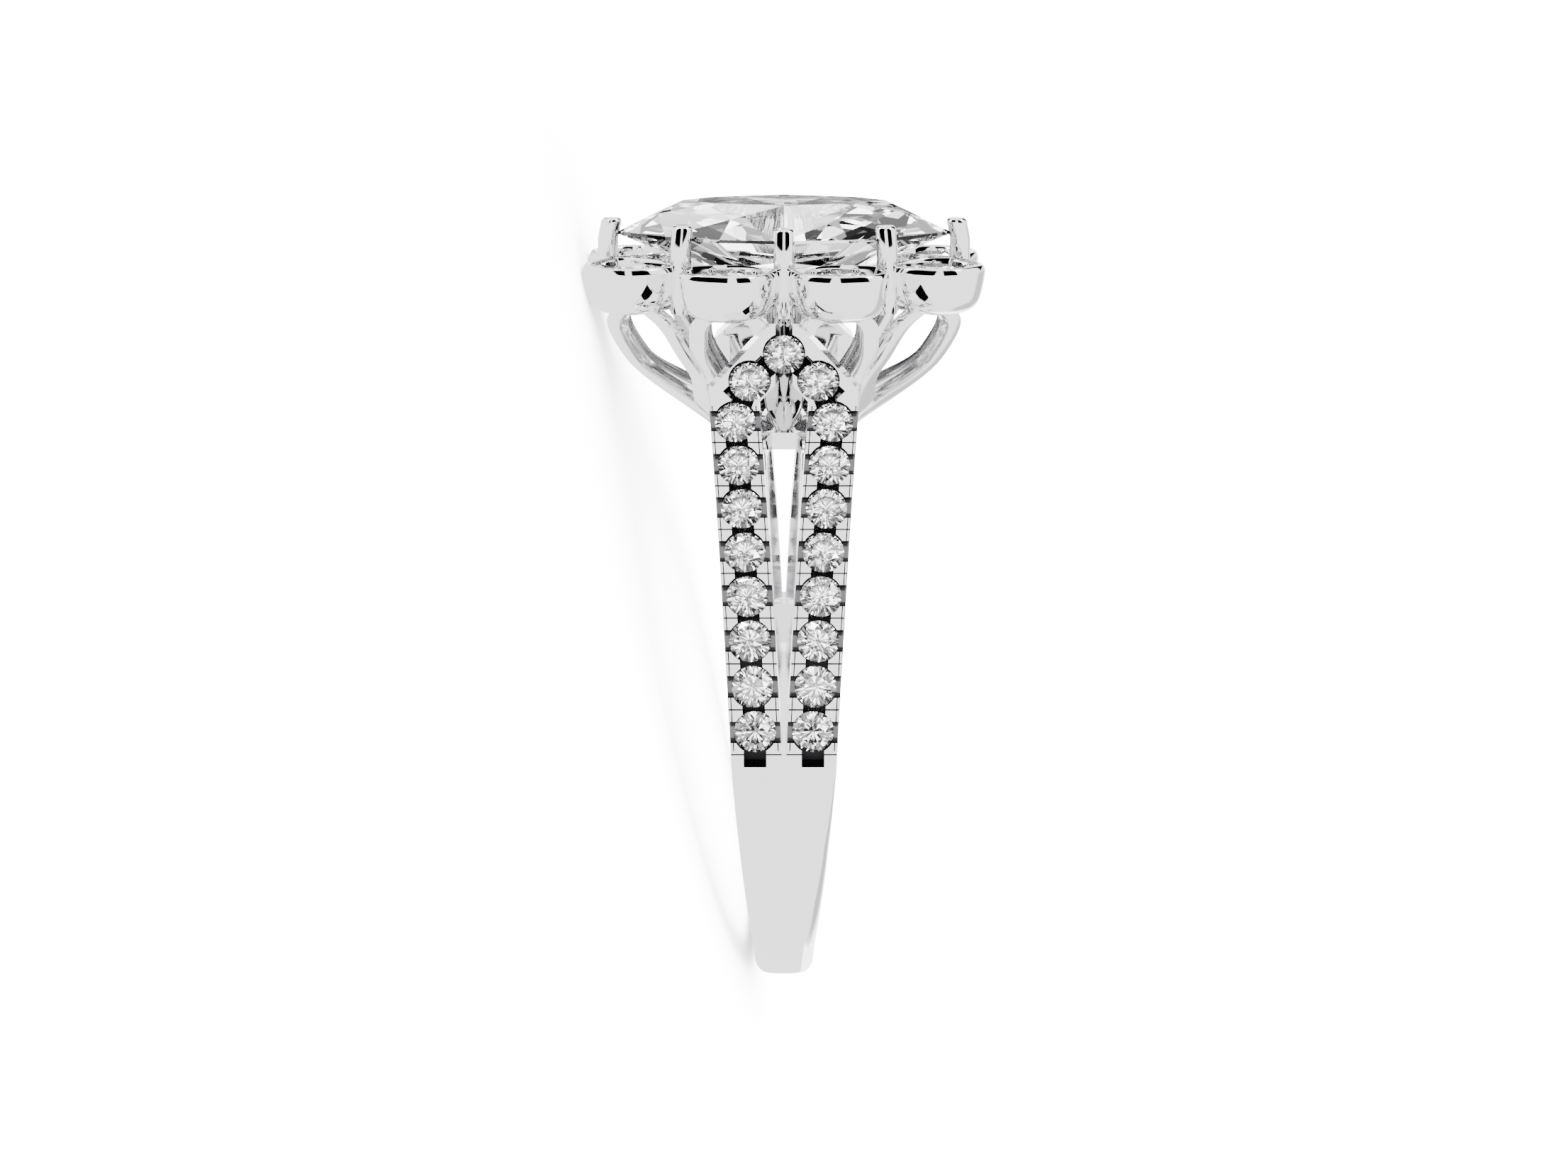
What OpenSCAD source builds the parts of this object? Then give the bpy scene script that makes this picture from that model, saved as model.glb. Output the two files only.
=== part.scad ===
// Split shank ring with a marquise stone in a halo of eight petal cups.
// Lengths are in millimetres. Every part is drawn upright first: the finger
// runs along X, the front of the ring faces -Y and the head points up along Z.
// The module rest() then lays the whole ring on its side, as it lies on a table.

/* [Finger and hoop] */
// Inside diameter of the hoop
finger_d = 17.3; // [16:0.1:19]
// Thickness of the hoop at the bottom
bottom_t = 1.65; // [1.5:0.05:1.9]
// Thickness of the hoop at its front and back
side_t = 1.91; // [1.8:0.01:2.1]
// Width of the hoop at the bottom
bottom_w = 1.97; // [1.8:0.01:2.4]
// Thickness of the rail that closes the hoop under the head
rail_t = 0.55; // [0.5:0.05:0.8]

/* [Split shoulders] */
// Width of each of the four shoulder arms
arm_w = 1.58; // [1.55:0.01:1.7]
// Thickness of the arms above the hoop
arm_t = 1.3; // [1.2:0.05:1.5]
// Lean of the arms towards the head, from upright
arm_lean = 29.6; // [28:0.1:31]
// Height above the finger's centre where the hoop splits
split_z = 0.17; // [0:0.01:0.5]
// Height of the arms' upper end, under the petals
arm_top_z = 13.0; // [12.9:0.01:13.1]
// Half the distance between arm centres at the split
split_half = 0.84; // [0.83:0.01:0.9]
// Length of the rail's solid middle, between the ends of the splits
bridge_l = 4.4; // [4:0.1:5]

/* [Accent stones] */
// Diameter of the small round stones in the arms
accent_d = 1.3; // [1.2:0.01:1.3]
// Distance between the centres of neighbouring accent stones
accent_pitch = 1.42; // [1.42:0.01:1.45]
// Distance along the arm from the hoop's level to the lowest accent stone
first_accent = 0.92; // [0.9:0.01:1]
// Number of accent stones in the straight part of each arm
accents_straight = 8; // [8:1:8]

/* [Head] */
// Length of the marquise stone
stone_l = 11.0; // [10.8:0.1:11]
// Width of the marquise stone
stone_w = 5.3; // [5.1:0.1:5.3]
// Height of the marquise stone's girdle
girdle_z = 15.28; // [15.2:0.01:15.4]
// Height of the crown above the girdle
crown_h = 1.08; // [0.9:0.01:1.1]
// Depth of the pavilion below the girdle
pavilion_h = 2.3; // [2:0.05:2.3]
// Diameter of the prong wires
prong_d = 0.68; // [0.6:0.01:0.7]
// Height of the prong tips
prong_top_z = 15.78; // [15.7:0.01:15.9]

/* [Petal halo] */
// Height of the petal cups' undersides
cup_z = 12.88; // [12.85:0.01:12.95]
// Height of the petal cups' rims
rim_z = 14.48; // [14.4:0.01:14.6]
// How far a petal bulges out from the line between its two prongs
petal_out = 2.15; // [2:0.01:2.25]
// Width of the rolled rim
rim_w = 0.3; // [0.25:0.01:0.35]
// Diameter of the round stones in the petals
petal_stone_d = 1.8; // [1.7:0.05:1.8]

/* [Basket] */
// Width of the flat bands that form the basket's loops
band_w = 0.52; // [0.45:0.01:0.6]
// Thickness of those bands
band_t = 0.45; // [0.4:0.01:0.5]
// Half the outside width of a loop under an end petal
end_loop_half = 1.62; // [1.5:0.01:1.65]
// Half the outside width of a loop under a side petal
side_loop_half = 1.35; // [1.2:0.01:1.4]

/* [Hidden] */

// Hoop
inner_r = finger_d / 2;
outer_r = inner_r + side_t;
outer_cz = side_t - bottom_t;
rail_r = inner_r + rail_t;
far = 40;
// Point where an arm leaves the hoop's outer circle, as [y, z] on the front
lean_pt = [-outer_r * cos(arm_lean), outer_cz + outer_r * sin(arm_lean)];
arm_dir = [sin(arm_lean), cos(arm_lean)];
arm_in = [cos(arm_lean), -sin(arm_lean)];
arc_l = outer_r * arm_lean * PI / 180;
arm_top = lean_pt + arm_dir * (arm_top_z - lean_pt[1]) / cos(arm_lean);
// The open window between arm and rail starts where the two are this far apart
window_start = 12.4;
window_pt = (lean_pt + arm_in * arm_t) + arm_dir * (inner_r + rail_t) * tan(window_start);
// Half the width of the narrow end of the split, and of the slot at the bridge
split_end = 0.055;
bridge_half = 0.4;
// Heights where the arms turn in towards the apex, outside and inside
roof_z = 11.0;
eave_z = 10.69;
apex_half = 0.27;

// Accent seats
turn_low = 18;
turn_high = 50;
girdle_sink = 0.13;
seat_gap = 0.02;
seat_depth = 0.42;
channel_w = 0.7;
channel_depth = 0.75;
notch_r = 0.34;
apex_notch_r = 0.27;

// Head: prongs on the tips, the quarters and the middles of the marquise, as [x, y]
tip_prong = [stone_l / 2 + 0.36, 0];
quarter_prong = [3.36, 2.24];
middle_prong = [0, stone_w / 2 + 0.4];
prong_r = prong_d / 2;
prong_foot_z = 12.9;
claw_r = 0.29;
claw_lean = 0.09;
// Marquise outline: two arcs of this radius, whose centres lie this far off the middle
marquise_r = (pow(stone_l / 2, 2) + pow(stone_w / 2, 2)) / stone_w;
marquise_c = marquise_r - stone_w / 2;
table_l = 7.0;
table_w = 3.04;

// Petal cups: [height above the underside as a share, inset from the rim's outline]
cup_wall = [[0, 0.78], [0.035, 0.52], [0.12, 0.32], [0.3, 0.15], [0.6, 0.05],
    [0.88, 0], [0.95, 0], [1, 0.07]];
cup_points = 28;
cup_power = 2.6;
cup_floor_z = 13.9;
petal_clear = 0.11;
petal_in = 0.55;
// The stone lies this far out from the line between the prongs, in a well
petal_stone_v = 0.55;
petal_girdle_z = 14.13;
well_r = 0.7;
well_z = 13.28;
bead_r = 0.15;
bead_z = 14.42;

// Basket: each loop rises from its foot on the rail and opens out to its petal
loop_foot_z = 8.95;
loop_mouth_z = 12.85;
loop_top_z = 13.2;
open_low_z = 9.8;
open_high_z = 12.95;
// [foot as x and y, mouth along and out from the line between its prongs, height where the loop is
// widest, power of its flare]
end_loop = [[1.79, 1.45], [-0.3, 0.47], 11.3, 1.5];
side_loop = [[1.6, 1.9], [0, 0.25], 11.8, 1.85];
loop_rings = 24;

// The ring lies on the rims of two petals and on the bottom edge of the hoop
petal_reach = 6.642;
rest_tilt = atan2(petal_reach - bottom_w / 2, rim_z - 0.25 + inner_r + bottom_t);
rest_shift_x = 3.205;
rest_drop = bottom_w / 2 * cos(rest_tilt) + (inner_r + bottom_t) * sin(rest_tilt);

METAL = "silver";
STONE = "aliceblue";

// Helper shapes and functions

module rest() {
    translate([rest_shift_x, 0, rest_drop]) rotate([0, rest_tilt - 90, 0]) children();
}

// Extrudes a side view, drawn as [y, z], along X
module side_view(w) {
    rotate([90, 0, 90]) linear_extrude(w, center = true) children();
}

// Extrudes a front view, drawn as [x, z], along Y
module front_view(l) {
    rotate([90, 0, 0]) linear_extrude(l, center = true) children();
}

// Copies its children to the left and right, and to the front and back
module both_sides() {
    children();
    mirror([1, 0, 0]) children();
}

module front_and_back() {
    children();
    mirror([0, 1, 0]) children();
}

// Half the distance between the centre lines of the two arms at a height
function arm_centre(z) = split_half + 0.045 * z + 0.0023 * z * z;

// Half the width of the plain lower hoop at a height below the split
function taper(z) = split_half + arm_w / 2 + 0.06 * z - 0.0029 * z * z;
function hoop_half(z) = (taper(z) + bottom_w / 2 + sqrt(pow(taper(z) - bottom_w / 2, 2) + 0.004)) / 2;

// Point on the front arm's outer face at a distance along it, as [y, z, slope of the normal]
function on_arm(l) = l < arc_l
    ? [-outer_r * cos(l / outer_r * 180 / PI), outer_cz + outer_r * sin(l / outer_r * 180 / PI),
        l / outer_r * 180 / PI]
    : [lean_pt[0] + arm_dir[0] * (l - arc_l), lean_pt[1] + arm_dir[1] * (l - arc_l), arm_lean];

// Accent stones of one arm, from the lowest, as [x, distance along the arm]
last_l = first_accent + (accents_straight - 1) * accent_pitch;
turn_l = last_l + accent_pitch * cos(turn_low);
turn_x = accent_pitch * sin(turn_high);
apex_l = turn_l + accent_pitch * cos(turn_high);
function accent_at(i) = i < accents_straight
    ? [arm_centre(on_arm(first_accent + i * accent_pitch)[1]), first_accent + i * accent_pitch]
    : i == accents_straight ? [turn_x, turn_l] : [0, apex_l];

// Places its children on the arm's face, with Z pointing out of it and Y up along it
module on_face(place) {
    p = on_arm(place[1]);
    translate([place[0], p[0], p[1]]) rotate([90 - p[2], 0, 0]) children();
}

// Hoop and shoulder arms

// Side view of one arm, at the front (-1) or back (1): it starts just inside the outer circle
function arm_outline() = [lean_pt + arm_in * 0.01, arm_top + arm_in * 0.01,
    [arm_top[0] + (arm_t + 0.01) / cos(arm_lean), arm_top_z], window_pt,
    window_pt - arm_dir * 1.2, lean_pt + arm_in * 1.2 - arm_dir * 0.6];

module arm_side(side) {
    outline = arm_outline();
    if (side < 0) polygon([for (i = [len(outline) - 1:-1:0]) outline[i]]);
    else polygon([for (p = outline) [-p[0], p[1]]]);
}

// Outer circle of a part of the hoop, up to just above the point where the arms leave it
module lower_side(r) {
    difference() {
        translate([0, outer_cz]) circle(r, $fn = 120);
        translate([-far / 2, lean_pt[1] + 0.8]) square(far);
    }
}

module hoop_side() {
    lower_side(outer_r);
    arm_side(-1);
    arm_side(1);
    circle(rail_r, $fn = 120);
}

module hoop_front() {
    lower = [for (i = [0:12]) let (z = -11 + i * (11 + split_z) / 12) [hoop_half(z), z]];
    upper = [for (i = [1:8]) let (z = split_z + i * (roof_z - split_z) / 8) [arm_centre(z) + arm_w / 2, z]];
    right = concat(lower, upper, [[apex_half, arm_top_z + 0.13]]);
    left = [for (i = [len(right) - 1:-1:0]) [-right[i][0], right[i][1]]];
    polygon(concat(right, left));
}

module split_front() {
    right = [for (i = [0:8]) let (z = split_z + i * (eave_z - split_z) / 8)
        [max(split_end, arm_centre(z) - arm_w / 2), z]];
    left = [for (i = [len(right) - 1:-1:0]) [-right[i][0], right[i][1]]];
    polygon(concat(right, [[0, eave_z + right[8][0]]], left));
}

// The split runs right through the ring, past the solid middle of the rail
module split() {
    wide = bridge_half + 0.5;
    difference() {
        front_view(far) split_front();
        translate([0, 0, eave_z]) mirror([0, 0, 1]) linear_extrude(eave_z)
            polygon([[-wide, -bridge_l / 2 - 0.5], [-bridge_half, -bridge_l / 2],
                [bridge_half, -bridge_l / 2], [wide, -bridge_l / 2 - 0.5],
                [wide, bridge_l / 2 + 0.5], [bridge_half, bridge_l / 2],
                [-bridge_half, bridge_l / 2], [-wide, bridge_l / 2 + 0.5]]);
    }
}

// Strip of the front view that joins two neighbouring accent stones
module channel_strip(a, b) {
    pa = [a[0], on_arm(a[1])[1]];
    pb = [b[0], on_arm(b[1])[1]];
    d = (pb - pa) / norm(pb - pa) * channel_w / 2;
    n = [-d[1], d[0]];
    polygon([pa - n, pb - n, pb + n, pa + n]);
}

// Side view of the skin of the front arm and hoop that a channel is cut in
module skin_side() {
    difference() {
        intersection() {
            lower_side(outer_r + 1);
            translate([-far / 2, -1]) square(far / 2);
        }
        translate([0, outer_cz]) circle(outer_r - channel_depth, $fn = 120);
    }
    floor_pt = lean_pt + arm_in * (channel_depth - 0.02) + arm_dir * 0.4;
    polygon([floor_pt - arm_in * 1.7, floor_pt, floor_pt + arm_dir * 9,
        floor_pt - arm_in * 1.7 + arm_dir * 9]);
}

module channels() {
    start = [accent_at(0)[0], 0.05];
    intersection() {
        side_view(far) skin_side();
        front_view(far) for (side = [0, 1]) mirror([side, 0]) {
            channel_strip(start, accent_at(0));
            for (i = [0:accents_straight]) channel_strip(accent_at(i), accent_at(i + 1));
        }
    }
}

// Seat of one accent stone: a well in which its girdle lies
module accent_seat() {
    translate([0, 0, -seat_depth])
        cylinder(seat_depth + 1, accent_d / 2 + seat_gap, accent_d / 2 + seat_gap, $fn = 32);
}

// Deeper well below the stones where the row turns
module accent_well() {
    translate([0, 0, -channel_depth]) cylinder(channel_depth, notch_r, notch_r, $fn = 32);
}

// Places its children on each accent stone's place, in all four arms
module on_accents() {
    for (i = [0:accents_straight]) both_sides() on_face(accent_at(i)) children();
    on_face([0, apex_l]) children();
}

module accent_notches() {
    for (i = [0:accents_straight]) both_sides() on_face(accent_at(i))
        rotate([0, 0, i < accents_straight ? 0 : -45]) rotate([0, 90, 0])
            cylinder(arm_w + 0.4, notch_r, notch_r, center = true, $fn = 32);
    on_face([0, apex_l]) rotate([90, 0, 0])
        cylinder(2.2, apex_notch_r, apex_notch_r, center = true, $fn = 32);
}

module hoop_blank() {
    difference() {
        intersection() {
            side_view(far) hoop_side();
            front_view(far) hoop_front();
        }
        side_view(far) circle(inner_r, $fn = 120);
        split();
    }
}

module hoop() {
    difference() {
        difference() {
            difference() {
                hoop_blank();
                front_and_back() channels();
            }
            front_and_back() accent_notches();
        }
        front_and_back() {
            on_accents() accent_seat();
            for (i = [accents_straight - 1, accents_straight])
                both_sides() on_face(accent_at(i)) accent_well();
            on_face([0, apex_l]) accent_well();
        }
    }
}

// Prong: a wire with a rounded end, and a ball on it that leans over the stone
module prong(place, turn) {
    translate(place) rotate([0, 0, turn]) {
        rotate_extrude($fn = 32) polygon([[0, prong_foot_z], [prong_r, prong_foot_z],
            [prong_r, prong_top_z - 0.44], [prong_r - 0.03, prong_top_z - 0.31],
            [prong_r - 0.1, prong_top_z - 0.2], [prong_r - 0.22, prong_top_z - 0.12],
            [0, prong_top_z - 0.1]]);
        translate([-claw_lean, 0, prong_top_z - claw_r]) sphere(claw_r, $fn = 32);
    }
}

module prongs() {
    quarter_turn = atan2(quarter_prong[1] + marquise_c, quarter_prong[0]);
    both_sides() {
        prong(tip_prong, 0);
        front_and_back() prong(quarter_prong, quarter_turn);
    }
    front_and_back() prong(middle_prong, 90);
}

// Petal cups. Each one stands on the line between two prongs, given as p and q

function petal_mid(p, q) = (p + q) / 2;
function petal_along(p, q) = (p - q) / norm(p - q);
function petal_away(p, q) = [petal_along(p, q)[1], -petal_along(p, q)[0]] * petal_side(p, q);
function petal_side(p, q) = (p + q) * [petal_along(p, q)[1], -petal_along(p, q)[0]] > 0 ? 1 : -1;
function petal_point(p, q, u, v) = petal_mid(p, q) + petal_along(p, q) * u * -petal_side(p, q)
    + petal_away(p, q) * v;

// Outline of a cup, inset by d, at an angle round it
function cup_outline(half, d, a) = let (
    u = (half - d) * sign(cos(a)) * pow(abs(cos(a)), 2 / cup_power))
    sin(a) >= 0 ? [u, (petal_out - d) * pow(sin(a), 2 / cup_power)]
        : [u, -(petal_in - 0.3 * d) * (1 - pow(u / (half - d), 2))];

function well_outline(a) = [well_r * cos(a), petal_stone_v + well_r * sin(a)];

// Faces of a solid with n rings of m points, closed by a face at each end
function loft_faces(n, m) = concat([[for (j = [0:m - 1]) j]],
    [for (i = [0:n - 2]) for (j = [0:m - 1]) [i * m + j, (i + 1) * m + j, (i + 1) * m + (j + 1) % m]],
    [for (i = [0:n - 2]) for (j = [0:m - 1]) [i * m + j, (i + 1) * m + (j + 1) % m, i * m + (j + 1) % m]],
    [[for (j = [m - 1:-1:0]) (n - 1) * m + j]]);

module petal_cup(p, q) {
    half = norm(p - q) / 2 - petal_clear;
    angles = [for (j = [0:cup_points - 1]) (j + 0.5) * 360 / cup_points];
    rings = concat(
        [for (w = cup_wall) [for (a = angles) concat(cup_outline(half, w[1], a),
            cup_z + w[0] * (rim_z - cup_z))]],
        [[for (a = angles) concat(cup_outline(half, rim_w - 0.05, a), rim_z)],
        [for (a = angles) concat(cup_outline(half, rim_w + 0.02, a), rim_z - 0.08)],
        [for (a = angles) concat(cup_outline(half, rim_w + 0.12, a), cup_floor_z)],
        [for (a = angles) concat(well_outline(a), cup_floor_z)],
        [for (a = angles) concat(well_outline(a), well_z)]]);
    points = [for (r = rings) for (k = r) concat(petal_point(p, q, k[0], k[1]), k[2])];
    polyhedron(points, loft_faces(len(rings), cup_points));
}

// Bead that holds a petal stone
module bead(p, q, a) {
    reach = petal_stone_d / 2 + bead_r + 0.02;
    at = petal_point(p, q, reach * cos(a), petal_stone_v + reach * sin(a));
    translate(at) rotate_extrude($fn = 24) polygon([[0, cup_floor_z - 0.25],
        [bead_r, cup_floor_z - 0.25], [bead_r, bead_z - 0.14], [bead_r * 0.75, bead_z - 0.04],
        [0, bead_z]]);
}

// Places the children's petal in each quarter of the head
module in_each_quarter() {
    both_sides() front_and_back() children();
}

module petal_cups() {
    in_each_quarter() {
        petal_cup(tip_prong, quarter_prong);
        petal_cup(quarter_prong, middle_prong);
    }
}

module beads() {
    in_each_quarter() for (a = [48, 132, 228, 312]) {
        bead(tip_prong, quarter_prong, a);
        bead(quarter_prong, middle_prong, a);
    }
}

// Basket: eight loops of flat band, each of which faces out the same way as its petal

// How far a loop has opened out at a height, as a share of the way from foot to mouth
function flare(z, power) = z > loop_mouth_z ? 1
    : 1 - pow(1 - (z - loop_foot_z) / (loop_mouth_z - loop_foot_z), power);

// Half width of a loop's outline, and of its opening, at a height
function loop_out(z, half, wide_z) = z < wide_z
    ? band_w / 2 + (half - band_w / 2) * pow(sin(90 * (z - loop_foot_z) / (wide_z - loop_foot_z)), 2)
    : half * (1 - pow((z - wide_z) / (loop_top_z - wide_z), 6));
function loop_in(z, half, wide_z) = z < wide_z - 0.1
    ? (half - band_w) * pow(sin(90 * (z - open_low_z) / (wide_z - 0.1 - open_low_z)), 1.7)
    : (half - band_w) * (1 - pow((z - wide_z + 0.1) / (open_high_z - wide_z + 0.1), 6));

// Point of a loop under the petal p to q: at a height, on the band's inside (-1) or outside (1),
// and a width off the loop's middle
function loop_point(p, q, loop, z, s, w) = let (
    n = petal_away(p, q),
    way = petal_point(p, q, loop[1][0], loop[1][1]) - loop[0],
    slope = (flare(z + 0.02, loop[3]) - flare(z - 0.02, loop[3])) / 0.04 * (way * n),
    out = [1, -slope] / norm([1, slope]) * s * band_t / 2,
    flat = loop[0] + way * flare(z, loop[3]) + n * out[0] + [-n[1], n[0]] * w)
    [flat[0], flat[1], z + out[1]];

module basket_loop(p, q, loop, outside) {
    n = loop_rings / 2;
    side = [for (k = [0:n]) let (t = sin(90 * k / n)) [
        loop_foot_z + (loop_top_z - loop_foot_z) * t, open_low_z + (open_high_z - open_low_z) * t]];
    half = [for (k = [0:n]) let (z = side[k]) [z[0], k == n ? 0 : loop_out(z[0], outside, loop[2]), z[1],
        k == 0 || k == n ? 0 : loop_in(z[1], outside, loop[2])]];
    ends = concat([[loop_foot_z, 0, open_low_z, 0]], [half[0] + [0.02, 0, 0.02, 0.01]]);
    right = concat(ends, [for (k = [1:n - 1]) half[k]], [half[n]]);
    round = concat(right, [for (k = [len(right) - 2:-1:1]) let (r = right[k]) [r[0], -r[1], r[2], -r[3]]]);
    m = len(round);
    points = [for (r = round) for (c = [[0, -1], [0, 1], [2, 1], [2, -1]])
        loop_point(p, q, loop, r[c[0]], c[1], r[c[0] + 1])];
    faces = concat(
        [for (i = [0:m - 1]) for (j = [0:3]) [i * 4 + j, i * 4 + (j + 1) % 4, (i + 1) % m * 4 + (j + 1) % 4]],
        [for (i = [0:m - 1]) for (j = [0:3]) [i * 4 + j, (i + 1) % m * 4 + (j + 1) % 4, (i + 1) % m * 4 + j]]);
    polyhedron(points, faces);
}

module basket() {
    in_each_quarter() {
        basket_loop(tip_prong, quarter_prong, end_loop, end_loop_half);
        basket_loop(quarter_prong, middle_prong, side_loop, side_loop_half);
    }
}

// Keel: a smooth leaf between the rail and the middle prong, behind the arms' apex
module keel() {
    leaf = [[0.25, 8.7], [0.3, 9.05], [0.56, 9.6], [0.7, 10.2], [0.64, 10.9], [0.42, 11.8], [0.24, 12.95]];
    intersection() {
        front_view(far) polygon(concat(leaf, [for (i = [6:-1:0]) [-leaf[i][0], leaf[i][1]]]));
        side_view(4) polygon([[-2.3, 8.8], [-2.85, 9.8], [-3.1, 10.7], [-3.3, 12], [-3.32, 13.1],
            [-2.8, 13.1], [-2.6, 12], [-2.3, 10.7], [-1.95, 9.8], [-1.6, 8.8]]);
    }
}

// Stones

// Brilliant with a round girdle in the plane z = 0
module brilliant(d, crown, pavilion) {
    r = d / 2;
    hull() {
        translate([0, 0, crown - 0.001]) linear_extrude(0.001) rotate(22.5) circle(r * 0.6, $fn = 8);
        translate([0, 0, -0.012 * d]) linear_extrude(0.024 * d) circle(r, $fn = 16);
        translate([0, 0, -pavilion]) linear_extrude(0.001) circle(0.01 * d, $fn = 8);
    }
}

// Marquise outline, scaled to a length and width
function marquise(l, w, n) = [for (k = [0:n - 1]) let (a = 360 * k / n, x = l / 2 * cos(a),
    y = (sqrt(pow(marquise_r, 2) - pow(stone_l / 2 * cos(a), 2)) - marquise_c) * w / stone_w)
    [x, sin(a) < -0.0001 ? -y : y]];

module marquise_slab(l, w, n, z) {
    translate([0, 0, z]) linear_extrude(0.001) polygon(marquise(l, w, n));
}

module centre_stone() {
    color(STONE) translate([0, 0, girdle_z]) hull() {
        marquise_slab(table_l, table_w, 8, crown_h - 0.001);
        marquise_slab(stone_l * 0.845, stone_w * 0.82, 16, crown_h * 0.52);
        marquise_slab(stone_l, stone_w, 24, 0.05);
        marquise_slab(stone_l, stone_w, 24, -0.05);
        marquise_slab(stone_l * 0.36, stone_w * 0.3, 8, -pavilion_h * 0.72);
        translate([0, 0, -pavilion_h]) cube([0.3, 0.05, 0.001], center = true);
    }
}

module petal_stone(p, q) {
    at = petal_point(p, q, 0, petal_stone_v);
    color(STONE) translate(concat(at, petal_girdle_z))
        brilliant(petal_stone_d, petal_stone_d * 0.15, petal_stone_d * 0.42);
}

module accent_stone(place) {
    color(STONE) on_face(place) translate([0, 0, -girdle_sink])
        brilliant(accent_d, 0.21, 0.56);
}

module accent_row() {
    for (i = [0:accents_straight]) accent_stone(accent_at(i));
}

module mount() {
    color(METAL) {
        hoop();
        prongs();
        petal_cups();
        beads();
        basket();
        front_and_back() keel();
    }
}

module petal_stone_end() {
    petal_stone(tip_prong, quarter_prong);
}

module petal_stone_side() {
    petal_stone(quarter_prong, middle_prong);
}

rest() mount();
rest() centre_stone();
rest() mirror([0, 1, 0]) petal_stone_end();  // petal_stone_1
rest() mirror([0, 1, 0]) petal_stone_side();  // petal_stone_2
rest() mirror([1, 0, 0]) mirror([0, 1, 0]) petal_stone_side();  // petal_stone_3
rest() mirror([1, 0, 0]) mirror([0, 1, 0]) petal_stone_end();  // petal_stone_4
rest() mirror([1, 0, 0]) petal_stone_end();  // petal_stone_5
rest() mirror([1, 0, 0]) petal_stone_side();  // petal_stone_6
rest() petal_stone_side();  // petal_stone_7
rest() petal_stone_end();  // petal_stone_8
rest() accent_row();  // accents_front_upper
rest() mirror([1, 0, 0]) accent_row();  // accents_front_lower
rest() mirror([0, 1, 0]) accent_row();  // accents_back_upper
rest() mirror([1, 0, 0]) mirror([0, 1, 0]) accent_row();  // accents_back_lower
rest() accent_stone([0, apex_l]);  // apex_stone_front
rest() mirror([0, 1, 0]) accent_stone([0, apex_l]);  // apex_stone_back
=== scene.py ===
"""Split shank ring in polished white gold, with a marquise diamond in a halo of petal cups.

Each piece is modelled in millimetres in the ring's own upright frame: the finger runs along X,
the front of the ring faces -Y and the head points up along Z. LAID then lays it on its side.
"""
from math import atan2, cos, pi, radians, sin, sqrt

import bpy
from mathutils import Matrix, Vector


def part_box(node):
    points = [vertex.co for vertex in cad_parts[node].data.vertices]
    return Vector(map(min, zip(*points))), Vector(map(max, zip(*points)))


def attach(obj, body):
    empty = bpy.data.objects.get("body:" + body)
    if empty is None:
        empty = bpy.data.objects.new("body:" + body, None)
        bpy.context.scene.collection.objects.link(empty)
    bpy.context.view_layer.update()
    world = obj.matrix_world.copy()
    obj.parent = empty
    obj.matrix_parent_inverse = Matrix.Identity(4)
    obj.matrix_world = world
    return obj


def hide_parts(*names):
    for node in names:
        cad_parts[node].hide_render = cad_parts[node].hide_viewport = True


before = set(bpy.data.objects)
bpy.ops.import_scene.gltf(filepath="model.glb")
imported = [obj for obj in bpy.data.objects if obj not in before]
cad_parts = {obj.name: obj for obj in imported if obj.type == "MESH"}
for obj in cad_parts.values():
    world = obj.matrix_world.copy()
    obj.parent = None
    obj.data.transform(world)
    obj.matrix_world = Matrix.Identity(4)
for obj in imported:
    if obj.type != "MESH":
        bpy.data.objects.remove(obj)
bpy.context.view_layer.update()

# Hoop, in millimetres
FINGER_R = 8.65
BOTTOM_T = 1.65
SIDE_T = 1.91
BOTTOM_W = 1.97
RAIL_R = FINGER_R + 0.55
OUTER_R = FINGER_R + SIDE_T
OUTER_CZ = SIDE_T - BOTTOM_T
HOOP_STEPS = 72
# Edge rounding at a crisp section, and how much more at a soft one
EDGE_R = (0.03, 0.42)
INNER_EDGE_R = (0.06, 0.12)
DOME = 0.1
# The section goes from crisp to soft over this height below the split
SOFTEN_H = 3.2
RAIL_FROM = 35
RAIL_SWEEP = 110
RAIL_STEPS = 60
RAIL_EDGE = 0.05

# Split shoulders
ARM_W = 1.58
ARM_T = 1.3
ARM_LEAN = radians(29.6)
ARC_L = OUTER_R * ARM_LEAN
ARM_TOP_Z = 13.0
ARM_STEPS = 14
SPLIT_Z = 0.17
SPLIT_HALF = 0.84
# The arms' middles part by this much for each millimetre of height, and by this much for its square
ARM_SPREAD = (0.045, 0.0023)
# Below the split the hoop narrows in the same way
HOOP_TAPER = (0.06, -0.0029)
SPLIT_END = 0.055
ROOF_Z = 11.0
EAVE_Z = 10.69
APEX_HALF = 0.27
WINDOW_Z = 6.28
BRIDGE_Y = 2.2
BRIDGE_HALF = 0.4

# Accent stones
ACCENT_D = 1.3
ACCENT_PITCH = 1.42
FIRST_ACCENT = 0.92
STRAIGHT_ACCENTS = 8
GIRDLE_SINK = 0.13
# Where the row leaves the straight arm, and where it then turns to the apex, from upright
TURN_IN = radians(18)
TURN_UP = radians(50)
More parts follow.
